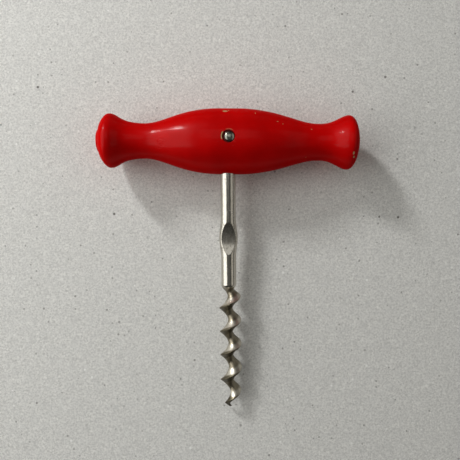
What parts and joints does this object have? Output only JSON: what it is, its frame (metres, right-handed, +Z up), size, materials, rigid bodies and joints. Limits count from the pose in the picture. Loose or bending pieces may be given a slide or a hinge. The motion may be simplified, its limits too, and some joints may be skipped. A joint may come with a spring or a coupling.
{
  "type": "t-handle corkscrew",
  "caption": "Plain direct-pull corkscrew: turned wooden crossbar handle, round steel shank with a pinched eye, bladed right-handed worm, and a fixed cross pin.",
  "frame": {"origin": "middle of the footprint on the surface it lies on, with the belly of the handle and the last full turn of the worm touching z = 0", "axes": "+X along the handle, +Y from the worm's tip towards the handle, +Z up, towards the domed head of the cross pin"},
  "size_m": [0.1, 0.1182, 0.0256],
  "materials": {
    "handle_paint": "turned wood under glossy red paint, lightly scratched and chipped to the bare wood in a few places",
    "plated_steel": "plated steel, bright but slightly tarnished, darker in the recesses of the worm",
    "pin_steel": "smooth domed steel head, slightly tarnished"
  },
  "bodies": {
    "root": {"handle": "handle_paint", "shank_and_worm": "plated_steel", "cross_pin": "pin_steel"}
  },
  "joints": []
}
